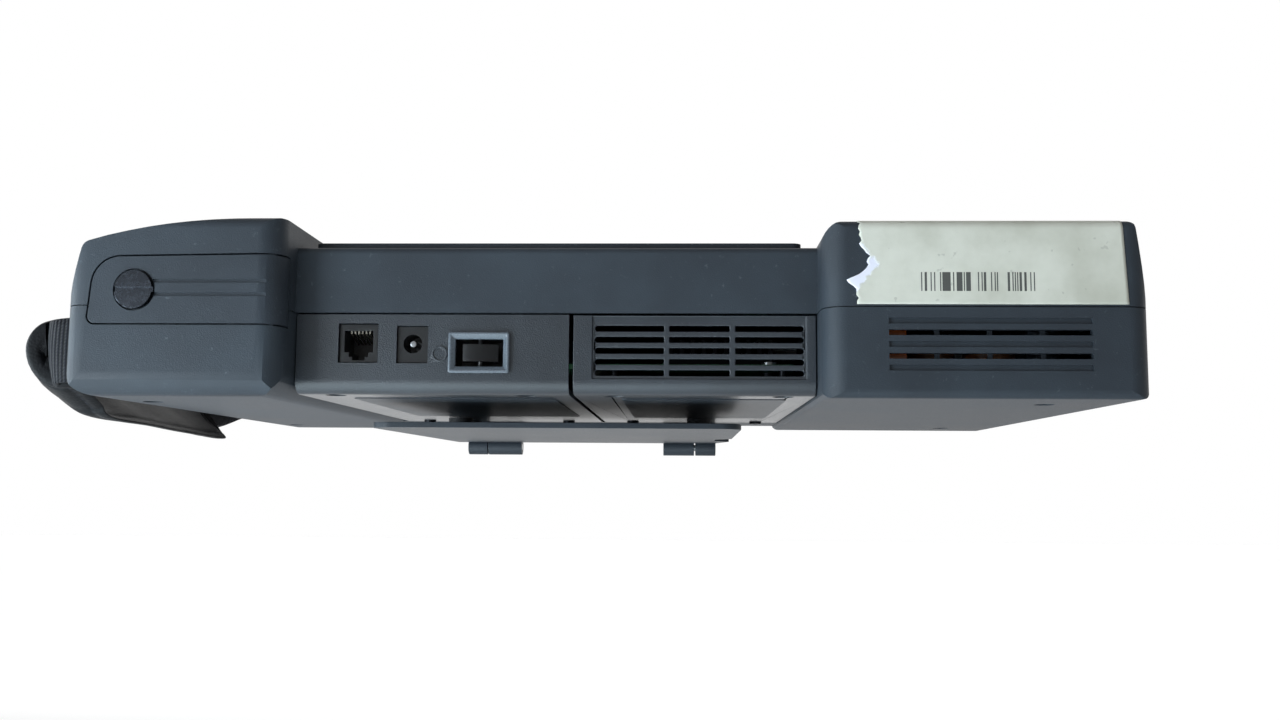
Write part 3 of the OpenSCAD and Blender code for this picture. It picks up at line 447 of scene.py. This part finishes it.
# %% Nylon web
def ribbed_nylon(name):
    """Height is 0.7 of a rib wave along the web and 0.3 of a warp wave across it, which slants
    1 in 2."""
    s = Shader(name, Sheen_Weight=0.06, Sheen_Roughness=0.4, Specular_IOR_Level=0.2)
    uv = uv_of(s)
    along, across = s.axis(uv, "X"), s.axis(uv, "Y")
    ribs = (along * (2 * math.pi / 1.6)).sine() * 0.5 + 0.5
    warp = ((across + along * 0.5) * (2 * math.pi / 1.1)).sine() * 0.5 + 0.5
    fuzz = s.noise(s.place(), 900.0, 4.0, 0.7)
    thread = ribs * 0.7 + warp * 0.3
    # The colour is lighter on each rib crest, a painted highlight, and lighter again on random patches of fuzz.
    s.paint(
        Base_Color=s.blend((thread * 0.7 + fuzz.ramp(0.45, 0.8) * 0.5).clipped(), rgb("060709"), rgb("23252D")),
        Roughness=(thread * 0.15 + 0.62).clipped())
    s.bump(thread * 0.85 + fuzz * 0.15, 0.45 * MM)
    return s.material


def strap_web(width, thickness):
    """An open sheet: a line of the web's width, carried along its path and bent with it."""
    across = np.broadcast_to(np.linspace(-width / 2, width / 2, 9), (len(web_path), 9))
    uv = np.stack(np.broadcast_arrays(travelled(web_path)[:, None], across), axis=-1)
    web = skin("strap_web", carried(web_path, across, across * 0), ribbed_nylon("ribbed_nylon"), uv=uv)
    body = web.modifiers.new("thickness", "SOLIDIFY")
    body.thickness, body.offset = thickness * MM, 0.0
    return web


web = strap_web(22.0, 1.7)
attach(web, "case")
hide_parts("strap_webbing")

# %% [markdown]
# The sleeve is black vinyl with a soft leather grain. Its section is a flattened lens. A bound edge makes a
# bead all round, a row of stitches lies 4 mm inside it, and the foam between them is crowned, with shallow
# creases where the hand has bent it.

# %% Padded sleeve
def sleeve_vinyl(name, edge):
    """Vinyl with grain cells 0.9 mm across, and thread dashes 3 mm long on a line edge mm in from the rim."""
    s = Shader(name, Specular_IOR_Level=0.22)
    here, uv = s.place(), uv_of(s)
    along, rim = s.axis(uv, "X"), s.axis(uv, "Y")
    grain = s.cells(here, 1100.0)
    worn = s.noise(here, 55.0, 4.0, 0.6)
    dash = ((along / 3.4).fraction() - 0.5).size() < 0.34
    thread = dash * ((rim - edge).size() < 0.45)
    tone = s.blend(worn.ramp(0.35, 0.75), rgb("07080A"), rgb("101216"))
    s.paint(
        Base_Color=s.blend(thread, tone, rgb("1C1E23")),
        Roughness=(0.34 + worn * 0.2 + grain * 0.1).clipped())
    s.bump((1 - grain) * 0.5 + thread * 0.5 + worn * 0.3, 0.16 * MM)
    return s.material


def sleeve(width, thickness, rows=150, columns=64):
    """Section at angle a: across = w/2 sign(cos a) |cos a|^0.55 and out = t/2 sin a. The crown c is 1 in the
    middle and falls to 0.45 at the stitch line, then rises again for the bead. Both ends round off over
    8 mm as w sqrt(1 - (1 - d/8)^2 / 3)."""
    path = smooth_path(sleeve_stations, rows)
    length = travelled(path)
    a = np.linspace(0, 2 * np.pi, columns, endpoint=False)
    to_end = np.minimum(length, length[-1] - length)
    round_off = np.sqrt(1 - (1 - np.clip(to_end / 8, 0, 1)) ** 2 / 3)
    thin_off = np.sqrt(np.clip(to_end / 1.5 + 0.12, 0, 1))
    half = width / 2 * path[:, 4] * round_off
    u = np.sign(np.cos(a)) * np.abs(np.cos(a)) ** 0.55
    across = half[:, None] * u
    from_rim = half[:, None] - np.abs(across)
    from_edge = np.minimum(from_rim, to_end[:, None])
    crown = 0.62 + 0.38 * np.clip((from_edge - 4) / 8, 0, 1) ** 0.6
    crown -= 0.34 * np.exp(-((from_edge - 4.0) / 0.9) ** 2)
    wave = np.sin(length[:, None] / 7.5 + across * 0.11) * np.sin(length[:, None] / 19 + 1.3)
    creases = 0.12 * wave * np.clip((from_edge - 3) / 6, 0, 1)
    fold = 0.30 * np.exp(-((across + 0.45 * half[:, None]) / 1.6) ** 2) * np.clip((from_edge - 3) / 9, 0, 1)
    out = thickness / 2 * thin_off[:, None] * np.sin(a) * (crown + creases - fold * (np.sin(a) > 0))
    uv = np.stack(np.broadcast_arrays(length[:, None], from_edge), axis=-1)
    return skin("strap_sleeve", carried(path, across, out), sleeve_vinyl("sleeve_vinyl", 4.0), wrap=True,
                caps=True, uv=uv)


pad = sleeve(50.0, 5.2)
rounded_pad = pad.modifiers.new("round", "SUBSURF")
rounded_pad.levels = rounded_pad.render_levels = 1
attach(pad, "case")
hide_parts("strap_pad")
print("sleeve", len(pad.data.polygons), "faces")

# %% [markdown]
# ## Paper label
# A paper label was stuck on the drive housing's rear wall and folded over its top edge. Its left edge has
# been torn: the printed skin is gone there and white fibres show. It carries one block of plain bars.

# %% Paper label
def label_paper(name, bars):
    """Aged paper. The torn band within a few millimetres of the left edge is white fibre. bars is the printed
    block in the label's own millimetres: left, right, bottom and top."""
    s = Shader(name, Roughness=0.62)
    here, uv = s.place(), uv_of(s)
    along, up = s.axis(uv, "X"), s.axis(uv, "Y")
    left, right, bottom, top = bars
    column = s.add("ShaderNodeTexWhiteNoise", {"noise_dimensions": "1D"}, {"W": (along / 0.38).math("FLOOR")})
    inside = ((along > left) * (along < right)) * ((up > bottom) * (up < top))
    printed = inside * (column > 0.5)
    age = s.noise(here, 38.0, 4.0, 0.6)
    fibre = s.noise(here, 620.0, 5.0, 0.7)
    specks = s.noise(here, 300.0, 2.0, 0.5).ramp(0.70, 0.74)
    ragged = along + (s.noise(here, 160.0, 5.0, 0.75) - 0.5) * 7.0 + (up - 13.0).size() * 0.85
    torn = 1.0 - ragged.ramp(6.4, 7.8)
    tone = s.blend(age.ramp(0.3, 0.75), rgb("D6D7CC"), rgb("BCBDB0"))
    aged = s.blend(specks * 0.35, tone, rgb("8F9088"))
    inked = s.blend(printed * 0.9, aged, rgb("24262A"))
    s.paint(Base_Color=s.blend(torn, inked, rgb("E6E8F6")))
    s.bump(fibre * 0.25 + (1.0 - torn) * 0.75, 0.22 * MM)
    return s.material


def paper_label(left, right, low, top_height, corner, over):
    """x runs from left to right. Along the height, the sheet follows the wall up to the rounding, the
    rounding's quarter circle and then the top. The torn left edge is a list of steps, each a height and how
    far the edge stands out there, with two small sine ripples."""
    proud = 0.12
    face = 115.0 + proud
    rise = np.linspace(low, top_height - corner, 26)
    turn = np.linspace(0, np.pi / 2, 10)[1:]
    flat = np.linspace(0, over, 7)[1:]
    y = np.concatenate([rise * 0 + face, face - corner + corner * np.cos(turn), face - corner - flat])
    z = np.concatenate([
        rise, top_height - corner + (corner + proud) * np.sin(turn), flat * 0 + top_height + proud])
    height = np.concatenate([[0.0], np.cumsum(np.hypot(np.diff(y), np.diff(z)))])
    steps = ((0, 0.2), (4, 0), (6.2, 1.4), (7.6, 4.6), (9, 0.6), (12, -3.2), (16, -3.8), (19, -1.2), (40, 0.2))
    at, by = zip(*steps)
    tear = np.interp(height, at, by) + 0.35 * np.sin(height * 2.3) + 0.25 * np.sin(height * 5.1)
    share = np.linspace(0, 1, 90)
    x = left - (left - right) * share + (1 - share) ** 6 * tear[:, None]
    x -= 1.5 * share * np.clip(1 - height[:, None] / 30, 0, 1)
    curl = 0.25 * np.exp(-share / 0.02) * (1 + np.sin(height[:, None]))
    x, y, z = np.broadcast_arrays(x, y[:, None] + curl * 0.3, z[:, None])
    uv = np.stack(np.broadcast_arrays(left - x, height[:, None]), axis=-1)
    bars = (20.4, 57.0, 4.3, 10.5)
    label = skin("paper_label", np.stack([x, y, z], axis=-1), label_paper("label_paper", bars), uv=uv)
    body = label.modifiers.new("thickness", "SOLIDIFY")
    body.thickness, body.offset = 0.08 * MM, 1.0
    return label


label = paper_label(-104.9, -190.2, 44.2, 72.0, 3.0, 8.0)
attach(label, "case")
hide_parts("asset_label")
print("label", len(label.data.polygons), "faces")

# %% [markdown]
# ## Rocker's surround
# The switch's surround is one moulding: a narrow outer wall, a flat rim, and four slopes that fall inwards
# to the rocker. A profile carried round a rectangle makes it, and the slopes catch light like a picture
# frame.

# %% Switch surround
def rounded_loop(width, height, radius, turns=6):
    """Points round a rectangle with quarter circles of that radius at its corners, anticlockwise in x, z."""
    a = np.linspace(0, np.pi / 2, turns)
    corners = []
    for k, (sx, sz) in enumerate(((1, 1), (-1, 1), (-1, -1), (1, -1))):
        b = a + k * np.pi / 2
        corners.append(np.stack([
            sx * (width / 2 - radius) + radius * np.cos(b),
            sz * (height / 2 - radius) + radius * np.sin(b)], 1))
    return np.concatenate(corners)


def switch_surround(centre_x, centre_z, face, width, height):
    """Rings of the profile: wall at the cover, wall top, rim, slope foot, and down inside to the switch."""
    profile = ((0, -0.6, 0.7), (0, 1.15, 0.7), (0.12, 1.42, 0.6), (0.4, 1.55, 0.5), (0.9, 1.5, 0.4),
               (1.05, 1.35, 0.4), (2.05, 0.25, 0.3), (2.2, 0.1, 0.3), (2.3, -0.4, 0.3), (2.3, -1.2, 0.3))
    rings = []
    for inset, rise, radius in profile:
        loop = rounded_loop(width - 2 * inset, height - 2 * inset, radius)
        rings.append(np.stack([centre_x + loop[:, 0], loop[:, 0] * 0 + face + rise, centre_z + loop[:, 1]], 1))
    return skin("switch_surround", np.array(rings), surround_plastic, wrap=True)


def switch_well(centre_x, centre_z, face, width, height):
    """The black box behind the surround: a rounded rectangle carried back 13 mm, with its floor closed."""
    depths = np.array([-1.0, -3.0, -8.0, -13.0])[:, None]
    loop = rounded_loop(width, height, 0.3)
    rings = np.stack(np.broadcast_arrays(centre_x + loop[:, 0], face + depths, centre_z + loop[:, 1]), axis=-1)
    well = skin("switch_well", rings, rocker_plastic, wrap=True)
    floor_ring = [tuple(range(3 * len(loop), 4 * len(loop)))]
    points = rings.reshape(-1, 3) * MM
    sides = [tuple(face.vertices) for face in well.data.polygons]
    well.data.clear_geometry()
    well.data.from_pydata(points.tolist(), [], sides + floor_ring)
    return well


surround_plastic = moulded_plastic(
    "surround_plastic", "5A636C", "67707A", roughness=0.3, grain=0.03, shine=0.6, coat=0.4)
SWITCH = (21.03, 29.95, 97.0)  # the rocker's centre in X and Z, and the cover's face in Y
surround = switch_surround(*SWITCH, 20.9, 13.9)
well = switch_well(*SWITCH, 16.4, 9.4)
for piece in (surround, well):
    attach(piece, "case")
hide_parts("switch_frame")
print("surround", len(surround.data.polygons), "faces")

# %% [markdown]
# ## Light, floor and camera
# The camera stands a little below the case and looks slightly up at its rear face, about 0.4 metres away, so
# the underside shows foreshortened. The floor therefore lies well below. It is pale and gives off light of its
# own: a cool pool in front of the grip's end, which lights the underside, and a faint glow far behind the
# case. Two broad cool lamps stand low on the grip's side, and a weak white one above fills the top.

# %% Stage
def stage_floor(height, reach):
    """A square of floor, height metres up, that reaches that far each way. It glows: a cool
    round pool that fades out half a metre from its centre, and a faint white far beyond the case."""
    mesh = bpy.data.meshes.new("floor")
    corners = [(x, y, height) for x, y in ((-reach, -reach), (reach, -reach), (reach, reach), (-reach, reach))]
    mesh.from_pydata(corners, [], [(0, 1, 2, 3)])
    floor = bpy.data.objects.new("floor", mesh)
    bpy.context.collection.objects.link(floor)
    s = Shader("floor_paper", Base_Color=(0.9, 0.9, 0.9, 1), Roughness=0.9, Emission_Strength=3.0)
    here = s.place()
    across, along = s.axis(here, "X"), s.axis(here, "Y")
    far = 1.0 - along.ramp(-1.1, -0.5)
    pool_x, pool_y = 0.22, 0.42
    pool = 1.0 - (((across - pool_x) ** 2.0 + (along - pool_y) ** 2.0) ** 0.5).ramp(0.08, 0.50)
    lit = s.blend((far * 0.2).clipped(), (0.0, 0.0, 0.0, 1), (1.0, 1.0, 1.0, 1))
    s.paint(Emission_Color=s.blend(pool * 0.9, lit, (0.74, 0.92, 1.0, 1)))
    mesh.materials.append(s.material)
    return floor


def lamp(name, size, power, at, towards, colour=(1, 1, 1)):
    """A square area lamp of that size in metres and power in watts, aimed at a point."""
    light = bpy.data.lights.new(name, "AREA")
    light.size, light.energy, light.color = size, power, colour
    thing = bpy.data.objects.new(name, light)
    bpy.context.collection.objects.link(thing)
    aim = np.array(towards, float) - np.array(at, float)
    thing.location = at
    thing.rotation_euler = (
        math.atan2(math.hypot(aim[0], aim[1]), -aim[2]), 0, math.atan2(aim[1], aim[0]) - math.pi / 2)
    return thing


def camera(at, heading, pitch, roll, lens):
    """heading turns the camera from -Y towards +X, pitch tips it up and roll leans it, all in degrees."""
    data = bpy.data.cameras.new("camera")
    data.lens, data.sensor_width = lens, 36.0
    data.clip_start, data.clip_end = 0.01, 50
    thing = bpy.data.objects.new("camera", data)
    bpy.context.collection.objects.link(thing)
    thing.location = at
    thing.rotation_euler = (math.radians(90 + pitch), math.radians(roll), math.radians(180 + heading))
    bpy.context.scene.camera = thing
    return thing


def studio_world(name, behind, around):
    """A room that is bright behind the case, towards -Y, and dimmer around it. The share of the bright wall
    is a smooth step of the direction's Y."""
    world = bpy.data.worlds.new(name)
    world.use_nodes = True
    tree = world.node_tree
    direction = tree.nodes.new("ShaderNodeTexCoord")
    parts = tree.nodes.new("ShaderNodeSeparateXYZ")
    step = tree.nodes.new("ShaderNodeMapRange")
    step.interpolation_type = "SMOOTHSTEP"
    for socket, value in (("From Min", -0.25), ("From Max", -0.6), ("To Min", around), ("To Max", behind)):
        step.inputs[socket].default_value = value
    tree.links.new(direction.outputs["Generated"], parts.inputs[0])
    tree.links.new(parts.outputs["Y"], step.inputs["Value"])
    tree.links.new(step.outputs["Result"], tree.nodes["Background"].inputs["Strength"])
    tree.nodes["Background"].inputs["Color"].default_value = (1.0, 1.0, 1.0, 1)
    bpy.context.scene.world = world
    return world


cool = (0.80, 0.92, 1.0)
centre = (0.0, 0.0, 0.035)
left_end = (0.15, 0.1, 0.035)
floor = stage_floor(-0.30, 6.0)
lamp("key_from_below_left", 0.5, 9.0, (0.66, 0.62, -0.18), left_end, cool)
lamp("side_from_left", 0.6, 5.0, (0.95, 0.05, 0.05), left_end, cool)
lamp("fill_above", 1.4, 3.0, (0.4, 1.2, 1.0), centre)
studio_world("pale_room", 1.0, 0.24)
bpy.context.scene.view_settings.view_transform = "Standard"
camera((-0.0482, 0.5017, -0.0149), 1.98, 6.0, -0.4, 33.75)
print("camera looks up by 6 degrees from", [round(v, 3) for v in bpy.context.scene.camera.location])

# %% Close
bpy.context.view_layer.update()
